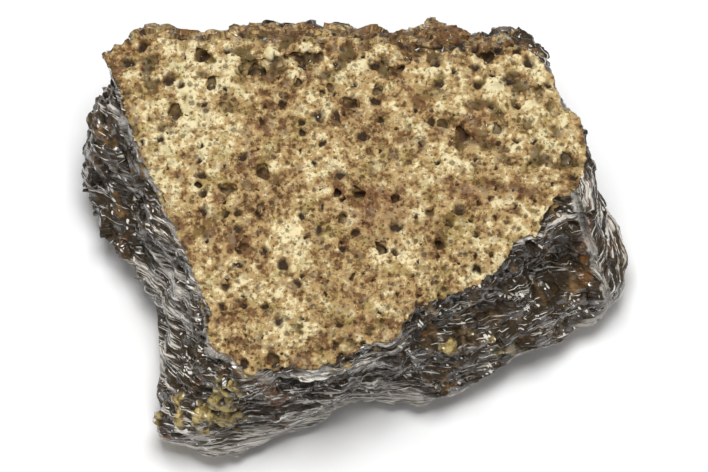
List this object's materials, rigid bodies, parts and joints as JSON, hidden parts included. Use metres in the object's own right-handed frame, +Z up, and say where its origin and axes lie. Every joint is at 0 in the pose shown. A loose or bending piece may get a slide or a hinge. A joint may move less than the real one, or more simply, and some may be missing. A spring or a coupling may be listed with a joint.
{
  "type": "fossil bone section",
  "caption": "Broken chunk of fossil dinosaur bone with a flat, open spongy face on top and steep, dark, fibrous walls, lying on its underside.",
  "frame": {"origin": "on the resting plane, below the middle of the bounding box", "axes": "+X along the chunk's length, +Y towards its straight back edge, +Z up, out of the spongy face"},
  "size_m": [0.0482, 0.0374, 0.0166],
  "materials": {
    "fossil_bone": "porous tan on the upper face, dark and glossy on the walls"
  },
  "bodies": {
    "root": {"bone_section": "fossil_bone"}
  },
  "joints": []
}
